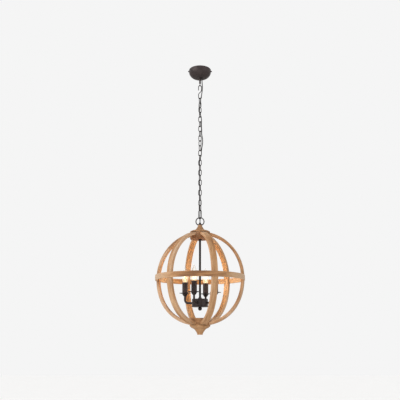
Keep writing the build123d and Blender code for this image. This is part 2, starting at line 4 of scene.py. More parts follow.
import bmesh
import bpy
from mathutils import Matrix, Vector


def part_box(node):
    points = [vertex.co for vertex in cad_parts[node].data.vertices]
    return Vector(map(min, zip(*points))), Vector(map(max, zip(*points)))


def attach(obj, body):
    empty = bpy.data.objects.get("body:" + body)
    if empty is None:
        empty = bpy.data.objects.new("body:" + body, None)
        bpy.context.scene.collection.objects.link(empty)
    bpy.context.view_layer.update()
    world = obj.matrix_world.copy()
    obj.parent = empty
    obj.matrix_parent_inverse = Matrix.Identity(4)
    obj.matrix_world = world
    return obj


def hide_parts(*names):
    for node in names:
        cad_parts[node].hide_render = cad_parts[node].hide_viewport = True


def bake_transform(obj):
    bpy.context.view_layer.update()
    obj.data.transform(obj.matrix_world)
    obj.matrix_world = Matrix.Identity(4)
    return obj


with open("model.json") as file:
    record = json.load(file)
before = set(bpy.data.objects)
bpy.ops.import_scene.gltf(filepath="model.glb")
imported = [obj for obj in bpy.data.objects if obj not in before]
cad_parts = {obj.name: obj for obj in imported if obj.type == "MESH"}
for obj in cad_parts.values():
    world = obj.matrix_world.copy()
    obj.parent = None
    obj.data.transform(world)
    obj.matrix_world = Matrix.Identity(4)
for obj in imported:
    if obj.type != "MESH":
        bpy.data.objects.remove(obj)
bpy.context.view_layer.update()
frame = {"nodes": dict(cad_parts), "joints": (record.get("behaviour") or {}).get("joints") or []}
mm = 0.001

ringLow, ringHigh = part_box("equator_ring")
ringZ = (ringLow.z + ringHigh.z) / 2  # the band's middle plane
scene = bpy.context.scene

# The camera stands below the band's height and looks slightly up, as in the photograph.
camera = {"away": 2.8166, "belowBand": 0.2789, "upDegrees": 13.74, "lens": 49.45, "sensor": 36.0}
cameraData = bpy.data.cameras.new("camera")
cameraData.lens = camera["lens"]
cameraData.sensor_width = camera["sensor"]
cameraObject = bpy.data.objects.new("camera", cameraData)
cameraObject.location = (0, -camera["away"], ringZ - camera["belowBand"])
cameraObject.rotation_euler = (radians(90 + camera["upDegrees"]), 0, 0)
scene.collection.objects.link(cameraObject)
scene.camera = cameraObject
print("camera set")


# small helpers for shader trees
def addNode(tree, kind, inputs=None, **settings):
    made = tree.nodes.new(kind)
    for key, value in settings.items():
        setattr(made, key, value)
    for key, value in (inputs or {}).items():
        if isinstance(value, bpy.types.NodeSocket):
            tree.links.new(value, made.inputs[key])
        else:
            made.inputs[key].default_value = value
    return made


def calc(tree, operation, *values):
    inputs = {index: value for index, value in enumerate(values)}
    return addNode(tree, "ShaderNodeMath", inputs, operation=operation).outputs[0]


def objectPlace(tree):
    return addNode(tree, "ShaderNodeTexCoord").outputs["Object"]


def fade(tree, value, low, high, toLow=0.0, toHigh=1.0):
    inputs = {"Value": value, "From Min": low, "From Max": high, "To Min": toLow, "To Max": toHigh}
    return addNode(tree, "ShaderNodeMapRange", inputs, interpolation_type="SMOOTHSTEP").outputs[0]


def noise(tree, vector, scales, detail=2.0, rough=0.5):
    spread = addNode(tree, "ShaderNodeVectorMath", {0: vector, 1: scales}, operation="MULTIPLY")
    inputs = {"Vector": spread.outputs[0], "Scale": 1.0, "Detail": detail, "Roughness": rough}
    return addNode(tree, "ShaderNodeTexNoise", inputs).outputs["Fac"]


def ramp(tree, value, stops):
    made = addNode(tree, "ShaderNodeValToRGB", {"Fac": value})
    elements = made.color_ramp.elements
    while len(elements) < len(stops):
        elements.new(0.5)
    for element, (place, colour) in zip(elements, stops):
        element.position = place
        element.color = (*colour, 1)
    return made.outputs["Color"]


def blendColours(tree, amount, first, second):
    inputs = {"Factor": amount, 6: first, 7: second}
    return addNode(tree, "ShaderNodeMix", inputs, data_type="RGBA").outputs[2]


def newMaterial(name):
    material = bpy.data.materials.new(name)
    material.use_nodes = True
    tree = material.node_tree
    return material, tree, tree.nodes["Principled BSDF"]


def plug(tree, shader, **sockets):
    for key, value in sockets.items():
        socket = shader.inputs[key.replace("_", " ")]
        if isinstance(value, bpy.types.NodeSocket):
            tree.links.new(value, socket)
        else:
            socket.default_value = value


def bumpFrom(tree, height, strength, distance):
    inputs = {"Height": height, "Strength": strength, "Distance": distance}
    return addNode(tree, "ShaderNodeBump", inputs).outputs["Normal"]


# wood: the grain follows each rib's curve, the band's round, or one straight board
wood = {
    "light": (0.59, 0.355, 0.18),
    "middle": (0.43, 0.215, 0.088),
    "dark": (0.22, 0.10, 0.040),
    "pore": (0.13, 0.055, 0.024),
    "worn": (0.64, 0.43, 0.28),
    "dryAndSheen": (0.63, 0.45, 0.30),          # pinkish grey: dried-out stain, and painted sheen of the light on the wood
    "fibre": (24.0, 620.0, 620.0),      # per metre: along, across and into the wood
    "figure": (3.2, 40.0, 40.0),
    "figureLines": 38.0,
    "blotch": (7.0, 26.0, 26.0),
    "patch": (3.4, 17.0, 17.0),
    "poreSize": (95.0, 1500.0, 1500.0),
    "curveRadius": 0.23,
    "fibreShare": 0.55,                 # of the stain's depth
    "figureShare": 0.075,
    "blotchShare": 0.75,
    "poreShare": 0.6,
    "rubbing": (0.0032, 0.0004),        # in from an edge: where it starts and where it is full
    "bandShadeAndLight": (-0.18, 0.10),          # painted shade at the middle of the front and painted light at its ends
}


def woodMaterial(name, form, turn=0.0, seed=0.0, toneAndShade=0.0, dryAndSheen=0.6, halfWidth=None):
    material, tree, shader = newMaterial(name)
    place = objectPlace(tree)
    turned = addNode(tree, "ShaderNodeMapping", {
        "Vector": place, "Rotation": (0, 0, -radians(turn)), "Location": (0, 0, -ringZ)})
    x, y, z = addNode(tree, "ShaderNodeSeparateXYZ", {0: turned.outputs[0]}).outputs
    if form == "board":
        along, across, depth = x, y, z
    else:
        side, height, across = (z, x, y) if form == "rib" else (y, x, z)
        depth = calc(tree, "SQRT", calc(tree, "ADD", calc(tree, "MULTIPLY", side, side),
                                        calc(tree, "MULTIPLY", height, height)))
        along = calc(tree, "MULTIPLY", calc(tree, "ARCTAN2", side, height), wood["curveRadius"])
    inWood = addNode(tree, "ShaderNodeCombineXYZ", {
        0: calc(tree, "ADD", along, seed), 1: calc(tree, "ADD", across, seed * 0.37), 2: depth})
    inWood = inWood.outputs[0]
    fibre = noise(tree, inWood, wood["fibre"], 5.0, 0.62)
    contour = noise(tree, inWood, wood["figure"], 1.5, 0.45)
    figure = calc(tree, "SINE", calc(tree, "MULTIPLY", contour, wood["figureLines"]))
    blotch = noise(tree, inWood, wood["blotch"], 2.0, 0.5)
    pore = fade(tree, noise(tree, inWood, wood["poreSize"], 1.0, 0.4), 0.60, 0.74)
    mixed = calc(tree, "MULTIPLY_ADD", fibre, wood["fibreShare"],
                 calc(tree, "MULTIPLY", figure, wood["figureShare"]))
    mixed = calc(tree, "MULTIPLY_ADD", blotch, wood["blotchShare"], mixed)
    if form == "band":  # darker towards the middle of the front and paler towards the ends: painted shade and painted sheen
        sideways = addNode(tree, "ShaderNodeSeparateXYZ", {0: place}).outputs[0]
        fromMiddle = calc(tree, "ABSOLUTE", sideways)
        inner, outer = wood["bandShadeAndLight"]
        toneAndShade = fade(tree, fromMiddle, 0.02, 0.17, toneAndShade + inner, toneAndShade + outer)
        dryAndSheen = fade(tree, fromMiddle, 0.05, 0.20, dryAndSheen * 0.2, dryAndSheen * 1.4)
        # paler, pinkish towards the band's ends: painted sheen
        sheenTowardsEnds = fade(tree, fromMiddle, 0.11, 0.22, 0.0, 0.85)
    mixed = calc(tree, "ADD", mixed, toneAndShade)
    colour = ramp(tree, mixed, [
        (0.36, wood["dark"]), (0.60, wood["middle"]), (0.86, wood["light"])])
    # pale patches: dried-out stain, and painted sheen where the light falls on the wood
    patch = noise(tree, inWood, wood["patch"], 3.0, 0.55)
    dryAndSheenMask = fade(tree, patch, 0.46, 0.66)
    if form == "band":
        dryAndSheenMask = calc(tree, "MAXIMUM", dryAndSheenMask, sheenTowardsEnds)
    dryAndSheenMask = calc(tree, "MULTIPLY", dryAndSheenMask, dryAndSheen)
    colour = blendColours(tree, dryAndSheenMask, colour, (*wood["dryAndSheen"], 1))
    inPores = calc(tree, "MULTIPLY", pore, wood["poreShare"])
    colour = blendColours(tree, inPores, colour, (*wood["pore"], 1))
    if halfWidth:
        start, full = wood["rubbing"]
        edge = fade(tree, calc(tree, "ABSOLUTE", across), halfWidth - start, halfWidth - full)
        rubbed = calc(tree, "MULTIPLY", edge, fade(tree, blotch, 0.42, 0.62, 0.08, 0.5))
        colour = blendColours(tree, rubbed, colour, (*wood["worn"], 1))
    relief = calc(tree, "MULTIPLY_ADD", pore, -0.7, calc(tree, "MULTIPLY", fibre, 0.6))
    plug(tree, shader, Base_Color=colour, Roughness=fade(tree, fibre, 0.3, 0.7, 0.72, 0.52),
         Specular_IOR_Level=0.35, Normal=bumpFrom(tree, relief, 0.5, 0.0006))
    return material


# dark bronze paint over metal, rubbed a little lighter in places; on the canopy the lighter clouds
# are also painted reflection
paint = {"dark": (0.018, 0.0122, 0.0118), "light": (0.050, 0.036, 0.035), "metal": 0.45}


def metalMaterial(name, rough=0.42, lift=1.0, grain=900.0, spread=0.19):
    material, tree, shader = newMaterial(name)
    place = objectPlace(tree)
    cloud = noise(tree, place, (38.0, 38.0, 38.0), 4.0, 0.6)
    speck = noise(tree, place, (grain, grain, grain), 2.0, 0.5)
    dark = tuple(value * lift for value in paint["dark"])
    light = tuple(value * lift for value in paint["light"])
    colour = ramp(tree, cloud, [(0.53 - spread, dark), (0.53 + spread, light)])
    plug(tree, shader, Base_Color=colour, Metallic=paint["metal"], Specular_IOR_Level=0.5,
         Roughness=fade(tree, cloud, 0.3, 0.7, rough - 0.06, rough + 0.1),
         Normal=bumpFrom(tree, speck, 0.25, 0.0002))
    return material


def zincMaterial():
    material, tree, shader = newMaterial("zincPlate")
    place = objectPlace(tree)
    cloud = noise(tree, place, (160.0, 160.0, 160.0), 3.0, 0.55)
    colour = ramp(tree, cloud, [(0.3, (0.40, 0.39, 0.36)), (0.7, (0.60, 0.60, 0.58))])
    plug(tree, shader, Base_Color=colour, Metallic=1.0,
         Roughness=fade(tree, cloud, 0.3, 0.7, 0.28, 0.44))
    return material


def plasticMaterial(name, colour, rough):
    material, tree, shader = newMaterial(name)
    place = objectPlace(tree)
    fine = noise(tree, place, (1400.0, 1400.0, 1400.0), 2.0, 0.5)
    shade = ramp(tree, fine, [(0.3, tuple(value * 0.8 for value in colour)), (0.7, colour)])
    plug(tree, shader, Base_Color=shade, Roughness=fade(tree, fine, 0.3, 0.7, rough, rough + 0.12),
         Normal=bumpFrom(tree, fine, 0.2, 0.0001))
    return material


def dress(nodeName, material):
    part = frame["nodes"][nodeName]
    if not part.material_slots:
        part.data.materials.append(material)
    for slot in part.material_slots:
        slot.material = material


# tone and pale patches of each rib: partly the wood's own, partly painted light and shade, set rib by
# rib
ribToneAndSheen = [(0.02, 0.1), (0.0, 0.6), (0.12, 0.95), (0.02, 0.3), (-0.11, 0.5), (0.0, 0.6)]
for number, (toneAndShade, dryAndSheen) in enumerate(ribToneAndSheen, 1):
    dress(f"rib_{number}", woodMaterial(
        f"ribWood{number}", "rib", 60 * number - 131.5, 1.7 * number, toneAndShade, dryAndSheen, halfWidth=0.015))
dress("equator_ring", woodMaterial("bandWood", "band", -71.5, 0.9, halfWidth=0.0135))
dress("top_finial", woodMaterial("topFinialWood", "board", 25, 3.1, -0.08, 0.3))
dress("bottom_finial", woodMaterial("bottomFinialWood", "board", -40, 5.3, -0.05, 0.0))
# the top hub's wood is made much darker (-0.38): painted shade of the recess between the ribs
dress("top_hub", woodMaterial("topHubWoodShaded", "board", 70, 7.7, -0.38, 0.1))
dress("bottom_hub", woodMaterial("bottomHubWood", "board", 15, 9.2, -0.13, 0.2))

# lift 1.5 and the wide spread lighten the canopy's paint in clouds: painted reflection of the studio
# light
canopyPaintAndReflection = metalMaterial("canopyPaintAndReflection", 0.54, 1.5, spread=0.3)
lampPaint = metalMaterial("lampPaint", 0.38, 0.9, spread=0.36)
chainPaint = metalMaterial("chainPaint", 0.48, 0.75)
sleevePaint = metalMaterial("sleevePaint", 0.30, 1.1)
rodPaint = metalMaterial("rodPaint", 0.62, 0.4)
zincPlate = zincMaterial()
holderPlastic = plasticMaterial("holderPlastic", (0.03, 0.027, 0.025), 0.45)
for nodeName in ("canopy", "canopy_stem", "canopy_screws"):
    dress(nodeName, canopyPaintAndReflection)
dress("center_rod", rodPaint)
for nodeName in ("hanging_eye", "cluster_body", "cluster_cover", "ball_finial",
                 "arms", "candle_cups", "bobeches", "rod_nuts"):
    dress(nodeName, lampPaint)
dress("candle_sleeves", sleevePaint)
for nodeName in ("mounting_strap", "stem_nuts", "rib_screws"):
    dress(nodeName, zincPlate)
dress("lampholders", holderPlastic)
dress("cord_bushing", holderPlastic)
chainNodes = ["s_hook", "end_link"] + [f"chain_link_{number:02d}" for number in range(1, 24)]
for nodeName in chainNodes:
    dress(nodeName, chainPaint)
print("wood, paint and metal on the carried pieces")


# meshes
def pieceFrom(mesh, name, material, body=None, replaces=()):
    piece = bpy.data.objects.new(name, mesh)
    scene.collection.objects.link(piece)
    if not mesh.materials:
        mesh.materials.append(material)
    if body:
        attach(piece, body)
    for nodeName in replaces:
        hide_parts(nodeName)
    return piece


# turns (radius, height) points, in mm, round a vertical line through the centre
def lathe(profile, centre, sides):
    shape = bmesh.new()
    rings = []
    for radius, height in [(r * mm, h * mm) for r, h in profile]:
        if not radius:
            rings.append([shape.verts.new((centre[0], centre[1], centre[2] + height))])
            continue
        rings.append([
            shape.verts.new((centre[0] + radius * cos(2 * pi * k / sides),
                             centre[1] + radius * sin(2 * pi * k / sides), centre[2] + height))
            for k in range(sides)])
    for lower, upper in zip(rings, rings[1:]):
        for k in range(sides):
            nextK = (k + 1) % sides
            corners = [lower[k % len(lower)], lower[nextK % len(lower)],
                       upper[nextK % len(upper)], upper[k % len(upper)]]
            unique = []
            for corner in corners:
                if corner not in unique:
                    unique.append(corner)
            if len(unique) > 2:
                shape.faces.new(unique)
    bmesh.ops.recalc_face_normals(shape, faces=shape.faces)
    mesh = bpy.data.meshes.new("turned")
    shape.to_mesh(mesh)
    shape.free()
    for face in mesh.polygons:
        face.use_smooth = True
    return mesh


# supply cord: one smooth line, cut into a stretch for each joint that it passes
cord = {
    "diameter": 5.0 * mm, "sides": 18, "steps": 14,
    "firstHold": -0.066,   # below the bushing the cord starts to follow the hook
    "lastHold": -0.867,    # the boss holds it from here on
    "braidPitch": 2600.0,  # radians per metre
    "strands": 6,
}
cordRoute = [  # mm, the same points as in the part's source
    (14.0, 8.0, -20.0), (10.9, 0.0, -36.0), (11.3, -0.2, -72.0), (13.4, -1.0, -98.0),
    (12.8, -2.0, -120.0), (10.0, -6.0, -144.0), (5.5, -8.0, -168.0), (1.2, -7.6, -190.0),
    (0.4, -8.2, -212.0), (-1.2, -8.4, -232.0), (-4.0, -8.0, -253.0), (1.0, -2.4, -265.0),
    (7.4, -2.2, -280.0), (8.2, -2.8, -304.0), (7.2, -3.2, -328.0), (9.6, -3.4, -354.0),
    (8.6, -1.4, -379.0), (14.0, -1.6, -404.0), (14.4, -0.2, -430.0), (10.4, 1.0, -452.0),
    (7.4, 3.6, -474.0), (7.4, 3.4, -499.0), (1.0, 2.0, -514.0), (-3.4, 7.2, -529.0),
    (-2.4, 8.4, -550.0), (-3.4, 7.0, -574.0), (-2.2, 8.4, -600.0), (-3.8, 6.8, -628.0),
    (-2.2, 8.6, -656.0), (-1.8, 9.2, -684.0), (-3.0, 6.8, -712.0), (-1.8, 8.6, -738.0),
    (0.2, 9.0, -762.0), (-1.8, 7.4, -786.0), (0.6, 8.8, -808.0), (-0.6, 9.0, -830.0),
    (0.0, 7.2, -849.0), (0.0, 0.0, -862.0), (0.0, 0.2, -875.5), (0.0, 0.0, -888.0),
]


def cordMaterial():
    material, tree, shader = newMaterial("braidedCord")
    along, around, _ = addNode(tree, "ShaderNodeSeparateXYZ", {
        0: addNode(tree, "ShaderNodeUVMap", uv_map="alongCord").outputs[0]}).outputs
    waves = []
    for turns in (cord["strands"], -cord["strands"]):
        aroundTurns = calc(tree, "MULTIPLY", around, 2 * pi * turns)
        waves.append(calc(tree, "SINE", calc(
            tree, "MULTIPLY_ADD", along, cord["braidPitch"], aroundTurns)))
    braid = calc(tree, "MAXIMUM", *waves)
    colour = ramp(tree, fade(tree, braid, -0.2, 1.0), [
        (0.0, (0.012, 0.0105, 0.010)), (1.0, (0.040, 0.035, 0.032))])
    plug(tree, shader, Base_Color=colour, Roughness=0.78, Sheen_Weight=0.15,
         Normal=bumpFrom(tree, braid, 0.5, 0.0003))
    return material


# points along the NURBS line of these control points
def readLine(points, steps):
    curve = bpy.data.curves.new("route", "CURVE")
    curve.dimensions = "3D"
    spline = curve.splines.new("NURBS")
    spline.points.add(len(points) - 1)
    for target, point in zip(spline.points, points):
        target.co = (*[value * mm for value in point], 1)
    spline.order_u = 3
    spline.use_endpoint_u = True
    spline.resolution_u = steps
    holder = bpy.data.objects.new("route", curve)
    scene.collection.objects.link(holder)
    bpy.context.view_layer.update()
    ready = holder.evaluated_get(bpy.context.evaluated_depsgraph_get())
    line = bpy.data.meshes.new_from_object(ready)
    found = [vertex.co.copy() for vertex in line.vertices]
    bpy.data.objects.remove(holder)
    bpy.data.curves.remove(curve)
    bpy.data.meshes.remove(line)
    return found


# rings square to the line that never spin about it, each with its distance along it
def tubeRings(line, radius, sides):
    rings = []
    travelled = 0.0
    side = Vector((1, 0, 0))
    for index, point in enumerate(line):
        ahead = line[min(index + 1, len(line) - 1)] - line[max(index - 1, 0)]
        ahead.normalize()
        side = (side - ahead * side.dot(ahead)).normalized()
        up = ahead.cross(side)
        if index:
            travelled += (point - line[index - 1]).length
        ring = [point + radius * (side * cos(2 * pi * k / sides) + up * sin(2 * pi * k / sides))
                for k in range(sides)]
        rings.append((travelled, ring))
    return rings


def tubeMesh(rings, name):
    shape = bmesh.new()
    layer = shape.loops.layers.uv.new("alongCord")
    sides = len(rings[0][1])
    corners = [[shape.verts.new(spot) for spot in ring] for _, ring in rings]
    for index in range(len(rings) - 1):
        for k in range(sides):
            nextK = (k + 1) % sides
            face = shape.faces.new((corners[index][k], corners[index][nextK],
                                    corners[index + 1][nextK], corners[index + 1][k]))
            face.smooth = True
            spots = ((index, k), (index, k + 1), (index + 1, k + 1), (index + 1, k))
            for loop, (row, column) in zip(face.loops, spots):
                loop[layer].uv = (rings[row][0], column / sides)
    shape.faces.new(list(reversed(corners[0])))
    shape.faces.new(corners[-1])
    bmesh.ops.recalc_face_normals(shape, faces=shape.faces)
    mesh = bpy.data.meshes.new(name)
    shape.to_mesh(mesh)
    shape.free()
    return mesh


hangs = [joint for joint in frame["joints"] if joint["type"] == "hinge"]
jointHeights = [joint["pos_m"][2] for joint in hangs]
middles = [(upper + lower) / 2 for upper, lower in zip(jointHeights, jointHeights[1:])]
cordLine = readLine(cordRoute, cord["steps"])
cordRings = tubeRings(cordLine, cord["diameter"] / 2, cord["sides"])
braidedCord = cordMaterial()
tops = [cordLine[0].z + 1.0] + middles
bottoms = middles + [cordLine[-1].z - 1.0]
for number, (joint, top, bottom) in enumerate(zip(hangs, tops, bottoms), 1):
    inside = [index for index, spot in enumerate(cordLine) if bottom < spot.z <= top]
    last = min(inside[-1] + 1, len(cordLine) - 1)
    stretch = pieceFrom(tubeMesh(cordRings[inside[0]:last + 1], f"cord_{number:02d}"),
                        f"cord_{number:02d}", braidedCord, replaces=["supply_cord"])
    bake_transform(stretch)
print("supply cord in", len(hangs), "stretches")


# geometry node trees
# a tree with one geometry output and a named input for each size
def newTree(name, sizes):
    tree = bpy.data.node_groups.new(name, "GeometryNodeTree")
    tree.interface.new_socket("Geometry", in_out="OUTPUT", socket_type="NodeSocketGeometry")
    kinds = {float: "NodeSocketFloat", int: "NodeSocketInt", Vector: "NodeSocketVector",
             bpy.types.Material: "NodeSocketMaterial"}
    for key, value in sizes.items():
        kind = next(socket for sort, socket in kinds.items() if isinstance(value, sort))
        tree.interface.new_socket(key, in_out="INPUT", socket_type=kind)
    inputs = tree.nodes.new("NodeGroupInput")
    return tree, inputs.outputs


def finishTree(tree, geometry, material):
    real = addNode(tree, "GeometryNodeRealizeInstances", {"Geometry": geometry})
    painted = addNode(tree, "GeometryNodeSetMaterial", {
        "Geometry": real.outputs[0], "Material": material})
    tree.links.new(painted.outputs[0], tree.nodes.new("NodeGroupOutput").inputs[0])


# a tube round a path
def sweep(tree, path, steps, radius, caps):
    section = addNode(tree, "GeometryNodeCurvePrimitiveCircle", {
        "Resolution": steps, "Radius": radius})
    return addNode(tree, "GeometryNodeCurveToMesh", {
        "Curve": path, "Profile Curve": section.outputs[0], "Fill Caps": caps}).outputs[0]


def spiralTree(name, values, pathSteps, wireSteps, turn=(0.0, 0.0, 0.0)):
    tree, sizes = newTree(name, values)
    path = addNode(tree, "GeometryNodeCurveSpiral", {
        "Resolution": pathSteps, "Rotations": sizes["Turns"], "Start Radius": sizes["Radius"],
        "End Radius": sizes["Radius"], "Height": sizes["Height"]})
    swept = sweep(tree, path.outputs[0], wireSteps, sizes["Wire"], True)
    laid = addNode(tree, "GeometryNodeTransform", {
        "Geometry": swept, "Rotation": turn, "Translation": sizes["Centre"]})
    finishTree(tree, laid.outputs[0], sizes["Paint"])
    return tree


# runs a tree with these sizes and keeps its result as a plain piece
def grow(tree, sizes, name, body, smooth=False):
    holder = bpy.data.objects.new(name + "Maker", bpy.data.meshes.new(name + "Maker"))
    scene.collection.objects.link(holder)
    modifier = holder.modifiers.new("make", "NODES")
    modifier.node_group = tree
    for item in tree.interface.items_tree:
        if item.in_out == "INPUT":
            modifier[item.identifier] = sizes[item.name]
    bpy.context.view_layer.update()
    ready = holder.evaluated_get(bpy.context.evaluated_depsgraph_get())
    mesh = bpy.data.meshes.new_from_object(ready)
    holder.modifiers.remove(modifier)
    bpy.data.objects.remove(holder)
    if smooth:
        mesh.shade_smooth()
    return pieceFrom(mesh, name, None, body)


# bulbs: clear glass, screw cap, stem and a glowing coil, in mm above the cap's top
bulb = {
    "glass": [
        (8.2, -1.0), (8.5, 0.8), (10.6, 6.0), (13.5, 13.0), (15.9, 21.0), (17.1, 30.0),
        (16.7, 38.0), (15.2, 46.5), (12.8, 54.5), (9.6, 62.0), (6.4, 69.0), (4.0, 75.0),
        (2.3, 79.2), (1.1, 81.4), (0.0, 81.9)],
    "wall": 0.7,
    "stem": [
        (0.0, 1.0), (5.2, 1.0), (5.0, 3.0), (3.0, 7.0), (2.1, 13.0), (2.4, 19.0), (3.2, 21.5),
        (2.6, 23.2), (0.0, 23.8)],
    "cap": [
        (0.0, -22.9), (2.6, -22.9), (3.0, -21.6), (4.6, -19.0), (5.4, -18.0), (5.4, -1.2),
        (7.9, -0.9), (8.4, 0.3), (8.1, 1.6), (0.0, 1.8)],
    "capFoot": -22.9,
    "threadFoot": -17.0,
    "coilStart": (-7.0, 0.0, 32.0),
    "lead": [(1.4, 22.0), (1.8, 24.0), (3.2, 27.0), (5.6, 30.0), (7.0, 32.6)],
    "leadRadius": 0.22,
    "warmth": 0.15,                     # glow of the glass at its foot
    "warmTop": 60.0,
}


def glassMaterial():
    material, tree, shader = newMaterial("bulbGlass")
    plug(tree, shader, Base_Color=(1.0, 0.985, 0.95, 1), Roughness=0.0, IOR=1.46,
         Transmission_Weight=1.0)
    place = objectPlace(tree)
    z = addNode(tree, "ShaderNodeSeparateXYZ", {0: place}).outputs[2]
    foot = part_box("bulb_1")[0].z + 23 * mm
    warm = fade(tree, z, foot + bulb["warmTop"] * mm, foot + 4 * mm, 0.0, bulb["warmth"])
    plug(tree, shader, Emission_Color=(1.0, 0.76, 0.42, 1), Emission_Strength=warm)
    clear = addNode(tree, "ShaderNodeBsdfTransparent")
    shadow = addNode(tree, "ShaderNodeLightPath").outputs["Is Shadow Ray"]
    both = addNode(tree, "ShaderNodeMixShader", {
        0: shadow, 1: shader.outputs[0], 2: clear.outputs[0]})
    tree.links.new(both.outputs[0], tree.nodes["Material Output"].inputs["Surface"])
    return material


def glowMaterial(name, colour, strength):
    material, tree, shader = newMaterial(name)
    place = objectPlace(tree)
    hot = noise(tree, place, (400.0, 400.0, 400.0), 2.0, 0.5)
    plug(tree, shader, Base_Color=(0.9, 0.6, 0.3, 1), Emission_Color=(*colour, 1),
         Emission_Strength=fade(tree, hot, 0.2, 0.8, strength * 0.85, strength))
    return material


def brassMaterial():
    material, tree, shader = newMaterial("capBrass")
    place = objectPlace(tree)
    cloud = noise(tree, place, (300.0, 300.0, 300.0), 3.0, 0.5)
    colour = ramp(tree, cloud, [(0.3, (0.50, 0.40, 0.22)), (0.7, (0.66, 0.56, 0.34))])
    plug(tree, shader, Base_Color=colour, Metallic=1.0,
         Roughness=fade(tree, cloud, 0.3, 0.7, 0.22, 0.38))
    return material


bulbGlass = glassMaterial()
capBrass = brassMaterial()
coilGlow = glowMaterial("coilGlow", (1.0, 0.80, 0.50), 6.0)

coilSizes = {"Turns": 15.0, "Radius": 0.8 * mm, "Height": 14.0 * mm, "Wire": 0.17 * mm,
             "Centre": Vector(), "Paint": coilGlow}
coilTree = spiralTree("filamentCoil", coilSizes, 14, 6, (0.0, pi / 2, 0.0))
threadSizes = {"Turns": 5.0, "Radius": 5.45 * mm, "Height": 14.0 * mm, "Wire": 0.55 * mm,
               "Centre": Vector(), "Paint": capBrass}
threadTree = spiralTree("capThread", threadSizes, 40, 8)


def makeBulb(number):
    body = f"bulb_{number}"
    low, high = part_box(body)
    centre = Vector(((low.x + high.x) / 2, (low.y + high.y) / 2, low.z - bulb["capFoot"] * mm))
    glass = pieceFrom(lathe(bulb["glass"], centre, 48),
                      f"bulbGlass_{number}", bulbGlass, body, [body])
    thick = glass.modifiers.new("wall", "SOLIDIFY")
    thick.thickness = bulb["wall"] * mm
    thick.offset = -1
    soften = glass.modifiers.new("soften", "SUBSURF")
    soften.levels = soften.render_levels = 1
    pieceFrom(lathe(bulb["stem"], centre, 24), f"bulbStem_{number}", bulbGlass, body)
    pieceFrom(lathe(bulb["cap"], centre, 36), f"bulbCap_{number}", capBrass, body)
    threadFoot = centre + Vector((0, 0, bulb["threadFoot"] * mm))
    grow(threadTree, {**threadSizes, "Centre": threadFoot},
         f"bulbThread_{number}", body, smooth=True)
    coilStart = centre + Vector(bulb["coilStart"]) * mm
    grow(coilTree, {**coilSizes, "Centre": coilStart},
         f"bulbCoil_{number}", body, smooth=True)
    for sideName, side in (("left", -1), ("right", 1)):
        leadLine = [centre + Vector((side * x * mm, 0, h * mm)) for x, h in bulb["lead"]]
        lead = tubeMesh(tubeRings(leadLine, bulb["leadRadius"] * mm, 8), "lead")
        pieceFrom(lead, f"bulbLead_{number}_{sideName}", zincPlate, body)
    return centre


bulbSpots = [makeBulb(number) for number in range(1, 5)]
print("bulbs with caps, stems and coils")

# small rings: weld seams, rims and collars, all from one tree
beadSizes = {"Radius": 1.9 * mm, "Wire": 0.3 * mm, "Turn": Vector(), "Centre": Vector(),
             "Paint": chainPaint}
beadTree, sizes = newTree("beadRing", beadSizes)
loop = addNode(beadTree, "GeometryNodeCurvePrimitiveCircle", {
    "Resolution": 48, "Radius": sizes["Radius"]})
laid = addNode(beadTree, "GeometryNodeTransform", {
    "Geometry": sweep(beadTree, loop.outputs[0], 10, sizes["Wire"], False),
    "Rotation": sizes["Turn"], "Translation": sizes["Centre"]})
finishTree(beadTree, laid.outputs[0], sizes["Paint"])


def addBead(name, body, metal, radius, wire, centre, turn=(0.0, 0.0, 0.0)):
    values = {"Radius": radius * mm, "Wire": wire * mm, "Turn": turn, "Centre": centre,
              "Paint": metal}
    grow(beadTree, values, name, body, smooth=True)


seam = {"wire": 0.32, "inside": 0.12, "linkWire": 3.8, "endLinkWire": 4.0}
for nodeName in chainNodes[1:]:
    body = "end_link" if nodeName == "end_link" else nodeName.replace("chain_", "")
    wireRadius = seam["endLinkWire" if nodeName == "end_link" else "linkWire"] / 2
    corners = [vertex.co for vertex in frame["nodes"][nodeName].data.vertices]
    outward = max(corners, key=lambda spot: spot.xy.length).xy
    outward = outward * (1 - wireRadius * mm / outward.length)
    low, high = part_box(nodeName)
    addBead(f"seam_{body}", body, chainPaint, wireRadius - seam["inside"],
            seam["wire"], Vector((*outward, (low.z + high.z) / 2)))

canopyRim = {"wire": 0.9, "drop": 1.0}
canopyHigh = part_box("canopy")[1]
addBead("canopyRim", "ceiling", canopyPaintAndReflection,
        canopyHigh.x / mm - canopyRim["wire"], canopyRim["wire"],
        Vector((0, 0, canopyHigh.z - canopyRim["drop"] * mm)))
strain = {"wire": 0.7, "rings": [(3.9, 0.5), (3.5, 1.6), (3.2, 2.6)]}  # radius and drop
bushLow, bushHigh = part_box("cord_bushing")
bushMiddle = (bushLow + bushHigh) / 2
for number, (radius, drop) in enumerate(strain["rings"], 1):
    addBead(f"strainRing_{number}", "ceiling", holderPlastic, radius, strain["wire"],
            Vector((bushMiddle.x, bushMiddle.y, bushLow.z - drop * mm)))
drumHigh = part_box("cluster_body")[1]
collar = {"radius": 5.9, "wire": 1.1, "armHeight": -125.0, "inside": 0.3}
rim = {"radius": 14.1, "wire": 0.95, "drop": 0.2}
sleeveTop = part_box("candle_sleeves")[1].z
for number, centre in enumerate(bulbSpots, 1):
    outward = centre.xy.normalized()
    atDrum = outward * (drumHigh.x - collar["inside"] * mm)
    addBead(f"armCollar_{number}", "orb", lampPaint, collar["radius"], collar["wire"],
            Vector((*atDrum, ringZ + collar["armHeight"] * mm)),
            (0.0, pi / 2, atan2(outward.y, outward.x)))
    addBead(f"sleeveRim_{number}", "orb", sleevePaint, rim["radius"], rim["wire"],
            Vector((centre.x, centre.y, sleeveTop - rim["drop"] * mm)))
print("seams, rims and collars")

